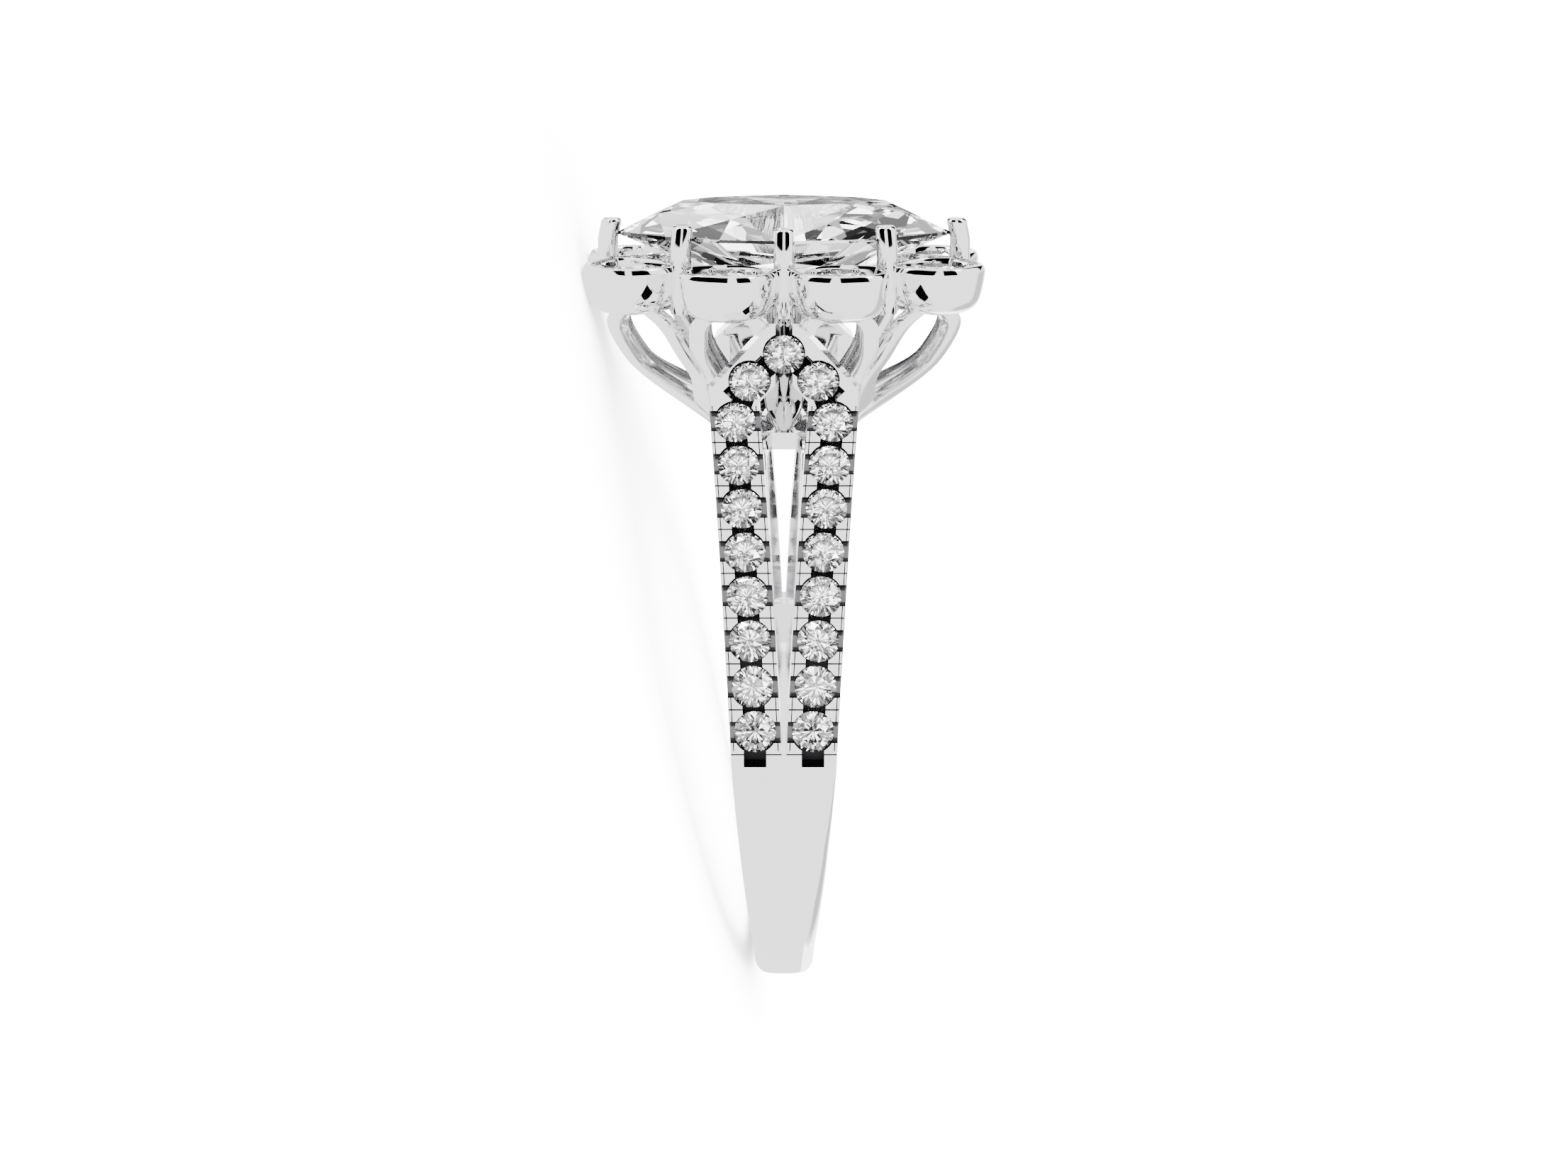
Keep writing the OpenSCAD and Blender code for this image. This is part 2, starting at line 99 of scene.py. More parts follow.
# Each stone is spun a little further than the last
STONE_SPIN = 11
SEAT_R = ACCENT_D / 2 + 0.02
CHANNEL_W = 0.7
CHANNEL_DEPTH = 0.75
CHANNEL_TOP = 0.6
CHANNEL_FROM = -0.2
NOTCH_R = 0.34
NOTCH_HALF_L = ARM_W / 2 + 0.06
APEX_NOTCH_HALF_L = 1.1
NOTCH_SIDES = 28
SEAT_SIDES = 40
CENTRE_GAP = 0.02
CUT_TOP = 0.7
SEAT_DEPTH = 0.52
SEAT_FOOT_R = 0.3
GROOVE_W = 0.044
GROOVE_DEPTH = 0.16
ROUND_TABLE = 0.56
ACCENT_CROWN = 0.21
ACCENT_PAVILION = 0.56
BORDER_IN = 0.1
BORDER_W = 0.035
BORDER_DEPTH = 0.06
BORDER_STEPS = 16
LINE_TOP = 0.2

# Head
STONE_L = 11.0
STONE_W = 5.3
GIRDLE_Z = 15.28
CROWN_H = 1.08
PAVILION_H = 2.3
TABLE_SHARE = 0.61
GIRDLE_HALF = 0.05
MARQUISE_R = ((STONE_L / 2) ** 2 + (STONE_W / 2) ** 2) / STONE_W
MARQUISE_C = MARQUISE_R - STONE_W / 2
TIP_PRONG = Vector((STONE_L / 2 + 0.36, 0))
QUARTER_PRONG = Vector((3.36, 2.24))
MIDDLE_PRONG = Vector((0, STONE_W / 2 + 0.4))
PRONG_R = 0.34
PRONG_SIDES = 48
PRONG_FOOT_Z = 12.9
PRONG_TOP_Z = 15.78
NOD_H = 0.7
NOD = 0.2
CAP_H = 0.15
CAP_R = 0.13

# Petal cups
CUP_Z = 12.88
RIM_Z = 14.48
PETAL_OUT = 2.15
PETAL_IN = 0.55
PETAL_CLEAR = 0.11
CUP_POWER = 2.6
CUP_POINTS = 128
CUP_FLOOR_Z = 13.9
RIM_W = 0.3
PETAL_STONE_D = 1.8
PETAL_STONE_OUT = 0.55
PETAL_GIRDLE_Z = 14.13
PETAL_CROWN = PETAL_STONE_D * 0.15
PETAL_PAVILION = PETAL_STONE_D * 0.42
BEAD_TURNS = (48, 132, 228, 312)
WELL_R = 0.7
WELL_Z = 13.28
BEAD_R = 0.15
BEAD_Z = 14.42
BEAD_SIDES = 16

# Basket
BAND_W = 0.52
BAND_T = 0.45
LOOP_FOOT_Z = 8.95
LOOP_MOUTH_Z = 12.85
LOOP_TOP_Z = 13.2
OPEN_LOW_Z = 9.8
OPEN_HIGH_Z = 12.95
# Foot as x and y, mouth along and out from its petal's middle, half width, height of the widest
# place and power of the flare
END_LOOP = ((1.79, 1.45), (0.3, 0.47), 1.62, 11.3, 1.5)
SIDE_LOOP = ((1.6, 1.9), (0, 0.25), 1.35, 11.8, 1.85)

# The ring lies on two petals' rims and on the hoop's bottom edge
PETAL_REACH = 6.642
REST_TILT = atan2(PETAL_REACH - BOTTOM_W / 2, RIM_Z - 0.25 + FINGER_R + BOTTOM_T)
REST_DROP = BOTTOM_W / 2 * cos(REST_TILT) + (FINGER_R + BOTTOM_T) * sin(REST_TILT)
REST_SHIFT = 3.205
LAID = Matrix.Scale(0.001, 4) @ Matrix((
    (sin(REST_TILT), 0, -cos(REST_TILT), REST_SHIFT),
    (0, 1, 0, 0),
    (cos(REST_TILT), 0, sin(REST_TILT), REST_DROP),
    (0, 0, 0, 1)))

# Camera of the photograph, in the ring's upright frame
PHOTO_W = 2212
CAMERA_AT = Vector((0, -92, 27.0))
CAMERA_PITCH = radians(14.59)
CAMERA_F_PX = 3899.2
SENSOR_MM = 36


# Modelling helpers

def only(*pieces):
    """Selects these pieces alone, with the first one active."""
    bpy.ops.object.select_all(action="DESELECT")
    for piece in pieces:
        piece.select_set(True)
    bpy.context.view_layer.objects.active = pieces[0]


def lofted(name, rings, ends="filled"):
    """A grid with a row for each ring of points, laid on them and closed all round."""
    around, along = len(rings[0]), len(rings) - 1
    bpy.ops.object.select_all(action="DESELECT")
    bpy.ops.mesh.primitive_grid_add(x_subdivisions=around, y_subdivisions=along, size=2)
    piece = bpy.context.object
    piece.name = name
    for vertex in piece.data.vertices:
        column = round((vertex.co.x + 1) / 2 * around) % around
        row = round((vertex.co.y + 1) / 2 * along)
        vertex.co = rings[row][column]
    bpy.ops.object.mode_set(mode="EDIT")
    bpy.ops.mesh.select_all(action="SELECT")
    bpy.ops.mesh.remove_doubles(threshold=1e-4)
    if ends == "filled":
        bpy.ops.mesh.select_all(action="DESELECT")
        bpy.ops.mesh.select_mode(type="EDGE")
        bpy.ops.mesh.select_non_manifold()
        bpy.ops.mesh.fill_holes(sides=0)
    bpy.ops.object.mode_set(mode="OBJECT")
    outward(piece)
    return piece


def outward(piece):
    """Turns every face of the piece outwards."""
    only(piece)
    bpy.ops.object.mode_set(mode="EDIT")
    bpy.ops.mesh.select_all(action="SELECT")
    bpy.ops.mesh.normals_make_consistent(inside=False)
    bpy.ops.object.mode_set(mode="OBJECT")


def joined(name, pieces):
    """Joins the pieces into one of this name."""
    only(*pieces)
    if len(pieces) > 1:
        bpy.ops.object.join()
    bpy.context.object.name = name
    return bpy.context.object


def applied(piece, kind, **settings):
    """Adds a modifier with these settings and applies it."""
    only(piece)
    modifier = piece.modifiers.new(kind.title(), kind)
    for key, value in settings.items():
        setattr(modifier, key, value)
    bpy.ops.object.modifier_apply(modifier=modifier.name)
    return piece


def cut_by(piece, cutter, operation="DIFFERENCE"):
    """Cuts the piece with another, or adds the other, and removes the other."""
    applied(piece, "BOOLEAN", operation=operation, object=cutter, solver="EXACT",
            material_mode="TRANSFER")
    bpy.data.objects.remove(cutter)
    return piece


def smooth_edges(piece, angle=32):
    """Shades smooth over every edge flatter than this many degrees."""
    only(piece)
    bpy.ops.object.shade_smooth_by_angle(angle=radians(angle))


def finished(piece, material, slot, *nodes):
    """Lays the piece in its place, gives it this material if it has none, and hides the nodes that it
    stands for.
    """
    if not piece.data.materials:
        piece.data.materials.append(material)
    piece.data.transform(LAID)
    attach(piece, "root")
    if nodes:
        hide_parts(*nodes)
    return piece


def copied(piece, place):
    """A copy with a mesh of its own, moved, turned or mirrored by a matrix."""
    copy = piece.copy()
    copy.data = piece.data.copy()
    bpy.context.scene.collection.objects.link(copy)
    copy.data.transform(place)
    if place.determinant() < 0:
        outward(copy)
    return copy


def mirrored(piece, quarters):
    """The piece of the right back quarter, copied into each of these quarters."""
    made = [copied(piece, Matrix.Diagonal((x, y, 1, 1))) for x, y in quarters]
    bpy.data.objects.remove(piece)
    return made


QUARTERS = ((1, -1), (-1, -1), (-1, 1), (1, 1))
LEFT_RIGHT = ((1, 1), (-1, 1))
FRONT_BACK = ((1, 1), (1, -1))


# Materials

def socket(group, name, kind, in_out, value=None):
    """Adds an input or output to a shader node group."""
    made = group.interface.new_socket(name=name, in_out=in_out, socket_type=kind)
    if value is not None:
        made.default_value = value


def ring_direction(x, y, z):
    """Direction of the upright frame, as it lies."""
    return (LAID.to_3x3() @ Vector((x, y, z))).normalized()


def card_group():
    """Shared by every card of the studio: 1 inside its limits of azimuth and elevation, in degrees."""
    group = bpy.data.node_groups.new("studio card", "ShaderNodeTree")
    for name in ("Azimuth", "Elevation", "Left", "Right", "Low", "High", "Soft"):
        socket(group, name, "NodeSocketFloat", "INPUT")
    socket(group, "Inside", "NodeSocketFloat", "OUTPUT")
    nodes, links = group.nodes, group.links
    into, out = nodes.new("NodeGroupInput"), nodes.new("NodeGroupOutput")

    def step(over, under):
        gap, soft = nodes.new("ShaderNodeMath"), nodes.new("ShaderNodeMath")
        gap.operation = "SUBTRACT"
        soft.operation = "DIVIDE"
        links.new(into.outputs[over], gap.inputs[0])
        links.new(into.outputs[under], gap.inputs[1])
        links.new(gap.outputs[0], soft.inputs[0])
        links.new(into.outputs["Soft"], soft.inputs[1])
        eased_step = nodes.new("ShaderNodeMapRange")
        eased_step.interpolation_type = "SMOOTHSTEP"
        eased_step.inputs["From Min"].default_value = -0.5
        eased_step.inputs["From Max"].default_value = 0.5
        links.new(soft.outputs[0], eased_step.inputs["Value"])
        return eased_step.outputs[0]

    inside = step("Azimuth", "Left")
    for over, under in (("Right", "Azimuth"), ("Elevation", "Low"), ("High", "Elevation")):
        both = nodes.new("ShaderNodeMath")
        both.operation = "MULTIPLY"
        links.new(inside, both.inputs[0])
        links.new(step(over, under), both.inputs[1])
        inside = both.outputs[0]
    links.new(inside, out.inputs["Inside"])
    return group


def maths(nodes, links, operation, *values):
    """Adds a maths node on these values and sockets."""
    node = nodes.new("ShaderNodeMath")
    node.operation = operation
    for number, value in enumerate(values):
        if isinstance(value, (int, float)):
            node.inputs[number].default_value = value
        else:
            links.new(value, node.inputs[number])
    return node.outputs[0]


# Cards round the upright ring, in degrees: azimuth from the front to the right, and elevation. The
# light is the card's share of the room's own
CARDS = (
    {"left": -62, "right": -13, "low": 8, "high": 62, "soft": 2.5, "light": 0.0},
    {"left": 13, "right": 62, "low": 8, "high": 62, "soft": 2.5, "light": 0.0},
    {"left": -158, "right": -118, "low": 12, "high": 50, "soft": 5, "light": 0.0},
    {"left": 118, "right": 158, "low": 12, "high": 50, "soft": 5, "light": 0.0},
    {"left": -142, "right": -106, "low": -60, "high": 6, "soft": 12, "light": 0.45},
    {"left": 106, "right": 142, "low": -60, "high": 6, "soft": 12, "light": 0.45},
    {"left": -200, "right": -150, "low": -70, "high": 12, "soft": 6, "light": 2.0},
    {"left": 150, "right": 200, "low": -70, "high": 12, "soft": 6, "light": 2.0},
    {"left": -44, "right": -34, "low": 28, "high": 36, "soft": 2, "light": 7.0},
    {"left": 20, "right": 28, "low": 40, "high": 50, "soft": 2, "light": 7.0},
    {"left": -90, "right": -70, "low": 40, "high": 55, "soft": 2, "light": 7.0},
    {"left": 70, "right": 90, "low": 40, "high": 55, "soft": 2, "light": 7.0},
)
ROOM_GREY = 2.6
BACKDROP_LIGHT = 22
# The paper shows mirrored rays the room as it is seen from here
HEAD_MIDDLE = Vector((0, 0, 14.6))

# Patches that the stones see: from this share of them on, this share of the brightest light
SPARKLE = ((0.0, 0.002), (0.22, 0.022), (0.45, 0.06), (0.72, 0.16), (0.93, 1.0))
SPARKLE_LIGHT = 14
SPARKLE_SCALE = 4.5
# The patches grow brighter upwards, by this much, from this sine of the elevation to that
SPARKLE_UP = (1.0, 4.2, 0.08, 0.4)


def sparkles(nodes, links, direction, up):
    """What light finds its way to through a stone: bright and dark patches, as by a window."""
    patches, tone, apart, rise = (nodes.new(kind) for kind in (
        "ShaderNodeTexVoronoi", "ShaderNodeValToRGB", "ShaderNodeSeparateColor", "ShaderNodeMapRange"))
    patches.inputs["Scale"].default_value = SPARKLE_SCALE
    tone.color_ramp.interpolation = "CONSTANT"
    steps = tone.color_ramp.elements
    for number, (share, light) in enumerate(SPARKLE):
        step = steps[number] if number < 2 else steps.new(share)
        step.position = share
        step.color = (light, light, light, 1)
    for name, value in zip(("To Min", "To Max", "From Min", "From Max"), SPARKLE_UP):
        rise.inputs[name].default_value = value
    links.new(direction, patches.inputs["Vector"])
    links.new(patches.outputs["Color"], apart.inputs[0])
    links.new(apart.outputs[0], tone.inputs[0])
    links.new(up, rise.inputs["Value"])
    strength = maths(nodes, links, "MULTIPLY", rise.outputs[0], SPARKLE_LIGHT)
    return maths(nodes, links, "MULTIPLY", tone.outputs[0], strength)


def room_group():
    """Shared by the world and the paper: the light that the ring, or a stone, mirrors from a direction."""
    group = bpy.data.node_groups.new("room", "ShaderNodeTree")
    socket(group, "Direction", "NodeSocketVector", "INPUT")
    socket(group, "Stones", "NodeSocketFloat", "INPUT")
    socket(group, "Light", "NodeSocketFloat", "OUTPUT")
    nodes, links = group.nodes, group.links
    into, out = nodes.new("NodeGroupInput"), nodes.new("NodeGroupOutput")
    unit = nodes.new("ShaderNodeVectorMath")
    unit.operation = "NORMALIZE"
    links.new(into.outputs["Direction"], unit.inputs[0])

    def along(direction):
        dot = nodes.new("ShaderNodeVectorMath")
        dot.operation = "DOT_PRODUCT"
        dot.inputs[1].default_value = direction
        links.new(unit.outputs[0], dot.inputs[0])
        return dot.outputs["Value"]

    across, front, up = (along(ring_direction(*axis)) for axis in ((1, 0, 0), (0, -1, 0), (0, 0, 1)))
    azimuth = maths(nodes, links, "DEGREES", maths(nodes, links, "ARCTAN2", across, front))
    elevation = maths(nodes, links, "DEGREES", maths(nodes, links, "ARCSINE", up))
    card, light = card_group(), ROOM_GREY
    for limits in CARDS:
        node = nodes.new("ShaderNodeGroup")
        node.node_tree = card
        links.new(azimuth, node.inputs["Azimuth"])
        links.new(elevation, node.inputs["Elevation"])
        for name in ("left", "right", "low", "high", "soft"):
            node.inputs[name.title()].default_value = limits[name]
        share = maths(nodes, links, "MULTIPLY_ADD", node.outputs[0], limits["light"] - 1, 1)
        light = maths(nodes, links, "MULTIPLY", share, light)
    seen = nodes.new("ShaderNodeMix")
    links.new(into.outputs["Stones"], seen.inputs["Factor"])
    links.new(light, seen.inputs["A"])
    links.new(sparkles(nodes, links, unit.outputs[0], up), seen.inputs["B"])
    links.new(seen.outputs["Result"], out.inputs[0])
    return group


ROOM = room_group()


CLOUD_SCALE = 900
HAIR_SCALE = 9000


def polish_group():
    """Shared by all the metal: faint cloudiness and hair scratches of hand polishing."""
    group = bpy.data.node_groups.new("hand polish", "ShaderNodeTree")
    socket(group, "Scale", "NodeSocketFloat", "INPUT", 1.0)
    socket(group, "Low", "NodeSocketFloat", "INPUT", 0.05)
    socket(group, "High", "NodeSocketFloat", "INPUT", 0.12)
    socket(group, "Roughness", "NodeSocketFloat", "OUTPUT")
    socket(group, "Height", "NodeSocketFloat", "OUTPUT")
    nodes, links = group.nodes, group.links
    into, out = nodes.new("NodeGroupInput"), nodes.new("NodeGroupOutput")
    place = nodes.new("ShaderNodeTexCoord")
    stretch = nodes.new("ShaderNodeMapping")
    stretch.inputs["Scale"].default_value = (1, 6, 1)
    cloud, hair = nodes.new("ShaderNodeTexNoise"), nodes.new("ShaderNodeTexNoise")
    scale_up = nodes.new("ShaderNodeMath")
    scale_up.operation = "MULTIPLY"
    scale_up.inputs[1].default_value = CLOUD_SCALE
    hair.inputs["Scale"].default_value = HAIR_SCALE
    hair.inputs["Detail"].default_value = 2
    rough = nodes.new("ShaderNodeMapRange")
    links.new(into.outputs["Scale"], scale_up.inputs[0])
    links.new(scale_up.outputs[0], cloud.inputs["Scale"])
    links.new(place.outputs["Object"], cloud.inputs["Vector"])
    links.new(place.outputs["Object"], stretch.inputs["Vector"])
    links.new(stretch.outputs[0], hair.inputs["Vector"])
    links.new(cloud.outputs["Fac"], rough.inputs["Value"])
    links.new(into.outputs["Low"], rough.inputs["To Min"])
    links.new(into.outputs["High"], rough.inputs["To Max"])
    links.new(rough.outputs[0], out.inputs["Roughness"])
    links.new(hair.outputs["Fac"], out.inputs["Height"])
    return group


def metal(name, colour, low, high, bump, polish):
    """White gold of one finish, or painted darker where its colour stands for shade."""
    made = bpy.data.materials.new(name)
    made.use_nodes = True
    nodes, links = made.node_tree.nodes, made.node_tree.links
    shader = nodes["Principled BSDF"]
    shader.inputs["Base Color"].default_value = (*colour, 1)
    shader.inputs["Metallic"].default_value = 1
    finish = nodes.new("ShaderNodeGroup")
    finish.node_tree = polish
    finish.inputs["Low"].default_value = low
    finish.inputs["High"].default_value = high
    relief = nodes.new("ShaderNodeBump")
    relief.inputs["Strength"].default_value = bump
    relief.inputs["Distance"].default_value = 0.00001
    links.new(finish.outputs["Roughness"], shader.inputs["Roughness"])
    links.new(finish.outputs["Height"], relief.inputs["Height"])
    links.new(relief.outputs[0], shader.inputs["Normal"])
    return made


def diamond(name, colour):
    """Clear stone with perfectly sharp faces."""
    made = bpy.data.materials.new(name)
    made.use_nodes = True
    shader = made.node_tree.nodes["Principled BSDF"]
    shader.inputs["Base Color"].default_value = (*colour, 1)
    shader.inputs["Roughness"].default_value = 0.0
    shader.inputs["IOR"].default_value = DIAMOND_IOR
    shader.inputs["Transmission Weight"].default_value = 1
    return made


DIAMOND_IOR = 2.42


def stones_path(nodes, links, light_path):
    """1 where the ray comes from a stone, whose faces are the only perfectly sharp ones."""
    return maths(nodes, links, "MAXIMUM", light_path.outputs["Is Transmission Ray"],
                 light_path.outputs["Is Singular Ray"])


def plain_path(nodes, links, light_path):
    """1 where the camera or a matt surface looks."""
    return maths(nodes, links, "MAXIMUM", light_path.outputs["Is Camera Ray"],
                 light_path.outputs["Is Diffuse Ray"])


def paper(name, shade):
    """Matt white sweep that the ring lies on; what the ring mirrors there is the room's soft grey."""
    made = bpy.data.materials.new(name)
    made.use_nodes = True
    nodes, links = made.node_tree.nodes, made.node_tree.links
    shader = nodes["Principled BSDF"]
    shader.inputs["Base Color"].default_value = (*shade, 1)
    shader.inputs["Roughness"].default_value = 0.9
    shader.inputs["Specular IOR Level"].default_value = 0.0
    grain, relief = nodes.new("ShaderNodeTexNoise"), nodes.new("ShaderNodeBump")
    grain.inputs["Scale"].default_value = 400
    relief.inputs["Strength"].default_value = 0.05
    relief.inputs["Distance"].default_value = 0.0001
    links.new(grain.outputs["Fac"], relief.inputs["Height"])
    links.new(relief.outputs[0], shader.inputs["Normal"])
    light_path, place, from_ring, room, glow, either = (nodes.new(kind) for kind in (
        "ShaderNodeLightPath", "ShaderNodeTexCoord", "ShaderNodeVectorMath", "ShaderNodeGroup",
        "ShaderNodeEmission", "ShaderNodeMixShader"))
    from_ring.operation = "SUBTRACT"
    from_ring.inputs[1].default_value = LAID @ HEAD_MIDDLE
    room.node_tree = ROOM
    links.new(place.outputs["Object"], from_ring.inputs[0])
    links.new(from_ring.outputs[0], room.inputs["Direction"])
    links.new(stones_path(nodes, links, light_path), room.inputs["Stones"])
    links.new(room.outputs[0], glow.inputs["Strength"])
    links.new(plain_path(nodes, links, light_path), either.inputs[0])
    links.new(glow.outputs[0], either.inputs[1])
    links.new(shader.outputs[0], either.inputs[2])
    links.new(either.outputs[0], nodes["Material Output"].inputs["Surface"])
    return made


POLISH = polish_group()
WHITE_GOLD = metal("polished white gold", (0.88, 0.88, 0.89), 0.02, 0.05, 0.003, POLISH)
SATIN_GOLD = metal("satin white gold", (0.88, 0.88, 0.89), 0.1, 0.18, 0.01, POLISH)
# Gold painted dark for the loops' faces inside the basket: painted shade
BASKET_SHADE_GOLD = metal("white gold painted with the shade inside the basket", (0.3, 0.3, 0.305), 0.08, 0.16, 0.01, POLISH)
# Gold painted grey for the keels: painted shade under the arms
KEEL_SHADE_GOLD = metal("white gold in the shade of the arms", (0.5, 0.5, 0.505), 0.03, 0.08, 0.005, POLISH)
# Gold painted nearly black for the seats and notches: painted shade in the recesses
SEAT_SHADE_GOLD = metal("white gold painted with the shade of the cut seats", (0.13, 0.13, 0.135), 0.1, 0.2, 0.05, POLISH)
# Gold painted almost black for the channel, saw lines and borders: painted shade
CHANNEL_SHADE_GOLD = metal("shadowed channel", (0.03, 0.03, 0.032), 0.35, 0.5, 0.05, POLISH)
DIAMOND = diamond("clear diamond", (1, 1, 1))
ACCENT_DIAMOND = diamond("clear accent diamond", (0.98, 0.985, 1))
PAPER = paper("white paper sweep", (0.96, 0.96, 0.96))


# Hoop and split shoulders

def arm_centre(z):
    """How far an arm's middle lies from the ring's middle at a height."""
    return SPLIT_HALF + ARM_SPREAD[0] * z + ARM_SPREAD[1] * z * z


def half_width(z):
    """Half the width of the ring at a height, outside the arms or below the split."""
    if z > SPLIT_Z:
        return arm_centre(z) + ARM_W / 2
    taper = SPLIT_HALF + ARM_W / 2 + HOOP_TAPER[0] * z + HOOP_TAPER[1] * z * z
    narrow = BOTTOM_W / 2
    return (taper + narrow + sqrt((taper - narrow) ** 2 + 0.004)) / 2


def on_arm(run):
    """Point (y, z) and slope of the front face at a run up it from the hoop's level."""
    slope = min(run / OUTER_R, ARM_LEAN)
    beyond = run - slope * OUTER_R
    return (-OUTER_R * cos(slope) + beyond * sin(slope),
            OUTER_CZ + OUTER_R * sin(slope) + beyond * cos(slope), slope)


def on_face(x, run, height):
    """Point at a height above the front face, x across it and a run up it."""
    y, z, slope = on_arm(run)
    return Vector((x, y - height * cos(slope), z + height * sin(slope)))


def face_matrix(x, run, height=0):
    """Place on the front face, with Z standing off it and Y up along the arm."""
    slope = on_arm(run)[2]
    made = Matrix(((1, 0, 0), (0, sin(slope), -cos(slope)), (0, cos(slope), sin(slope)))).to_4x4()
    made.translation = on_face(x, run, height)
    return made


LAST_RUN = FIRST_ACCENT + (STRAIGHT_ACCENTS - 1) * ACCENT_PITCH
TURN_RUN = LAST_RUN + ACCENT_PITCH * cos(TURN_IN)
TURN_X = ACCENT_PITCH * sin(TURN_UP)
APEX_RUN = TURN_RUN + ACCENT_PITCH * cos(TURN_UP)


def accent_places():
    """(x, run) of the stones of the arm on the right, from the lowest, without the apex."""
    runs = [FIRST_ACCENT + i * ACCENT_PITCH for i in range(STRAIGHT_ACCENTS)]
    return [(arm_centre(on_arm(run)[1]), run) for run in runs] + [(TURN_X, TURN_RUN)]


def wall_depth(y, z, slope):
    """Thickness from the front face inwards to the finger hole."""
    away = Vector((cos(slope), -sin(slope)))
    start = Vector((y, z))
    across = start.dot(away)
    return -across - sqrt(across ** 2 - start.length_squared + FINGER_R ** 2)


def hoop_section(y, z, slope, depth, softness):
    """Ring of points round the hoop: a domed face with soft edges, or a flat crisp one."""
    half = half_width(z)
    corner = EDGE_R[0] + EDGE_R[1] * softness
    dome = DOME * softness
    inner_corner = INNER_EDGE_R[0] + INNER_EDGE_R[1] * softness
    outline = []
    for step in range(7):
        turn = step / 6 * pi / 2
        outline.append((half - corner + corner * sin(turn), -corner + corner * cos(turn)))
    for step in range(5):
        turn = step / 4 * pi / 2
        outline.append((half - inner_corner + inner_corner * cos(turn),
                        -depth + inner_corner - inner_corner * sin(turn)))
    right = [(half * share - corner * share, 0) for share in (0.25, 0.5, 0.75)] + outline
    right += [(half * share, -depth) for share in (0.6, 0.25)]
    loop = right + [(-x, h) for x, h in reversed(right)]
    out, up = Vector((0, -cos(slope), sin(slope))), Vector((1, 0, 0))
    base = Vector((0, y, z))
    points = []
    for x, h in loop:
        lift = h - dome * (x / half) ** 2 if h > -depth / 2 else h
        points.append(base + up * x + out * lift)
    return points


def hoop_stations():
    """Runs down the front arm, round the hoop and up the back arm, as (y, z, slope, depth, softness)."""
    straight = (ARM_TOP_Z - on_arm(ARC_L)[1]) / cos(ARM_LEAN)
    window = (WINDOW_Z - on_arm(ARC_L)[1]) / cos(ARM_LEAN)
    runs = [ARC_L + straight * (1 - i / ARM_STEPS) for i in range(ARM_STEPS)]
    runs = [run for run in runs if run > ARC_L + window + 0.1]
    front = [(*on_arm(run), ARM_T, 0) for run in runs + [ARC_L + window + 0.001]]
    for run in [ARC_L + window] + [ARC_L * (1 - i / ARM_STEPS) for i in range(ARM_STEPS + 1)]:
        y, z, slope = on_arm(run)
        front.append((y, z, slope, wall_depth(y, z, slope), 0))
    for i in range(1, HOOP_STEPS + 1):
        slope = -pi / 2 * i / HOOP_STEPS
        y, z = -OUTER_R * cos(slope), OUTER_CZ + OUTER_R * sin(slope)
        softness = min(1, max(0, (SPLIT_Z - z) / SOFTEN_H))
        front.append((y, z, slope, wall_depth(y, z, slope), softness ** 0.8))
    back = [(-y, z, pi - slope, depth, soft) for y, z, slope, depth, soft in reversed(front[:-1])]
    return front + back


def rail():
    """Arch under the head that closes the finger hole."""
    rings = []
    for i in range(RAIL_STEPS + 1):
        turn = radians(RAIL_FROM + RAIL_SWEEP * i / RAIL_STEPS)
        out = Vector((0, cos(turn), sin(turn)))
        half = arm_centre(RAIL_R * sin(turn)) + ARM_W / 2
        rings.append([out * radius + Vector((x, 0, 0)) for x, radius in (
            (half, FINGER_R), (half, RAIL_R - RAIL_EDGE), (half - RAIL_EDGE, RAIL_R),
            (-half + RAIL_EDGE, RAIL_R), (-half, RAIL_R - RAIL_EDGE), (-half, FINGER_R))])
    return lofted("rail", rings)


def split_cutter(side):
    """Wedge that parts the shoulders on one side, down to its narrow end and in to the bridge."""
    steps = 16
    right = [(max(SPLIT_END, arm_centre(z) - ARM_W / 2), z) for z in
             (SPLIT_Z + i * (EAVE_Z - SPLIT_Z) / steps for i in range(steps + 1))]
    outline = right + [(0, EAVE_Z + right[-1][0])] + [(-x, z) for x, z in reversed(right)]
    rings = []
    for y, widest in ((14, 9), (BRIDGE_Y + 0.5, 9), (BRIDGE_Y, BRIDGE_HALF)):
        rings.append([Vector((max(-widest, min(widest, x)), side * y, z)) for x, z in outline])
    return lofted("split", rings)


def roof_cutter(across):
    """Takes off the arms' outer corners, where they turn in towards the apex."""
    edge = half_width(ROOF_Z)
    top = ARM_TOP_Z + 0.13
    outline = [(edge, ROOF_Z), (APEX_HALF, top), (APEX_HALF, top + 2), (edge + 2, top + 2),
               (edge + 2, ROOF_Z)]
    return lofted("roof", [[Vector((across * x, y, z)) for x, z in outline] for y in (-9, 9)])


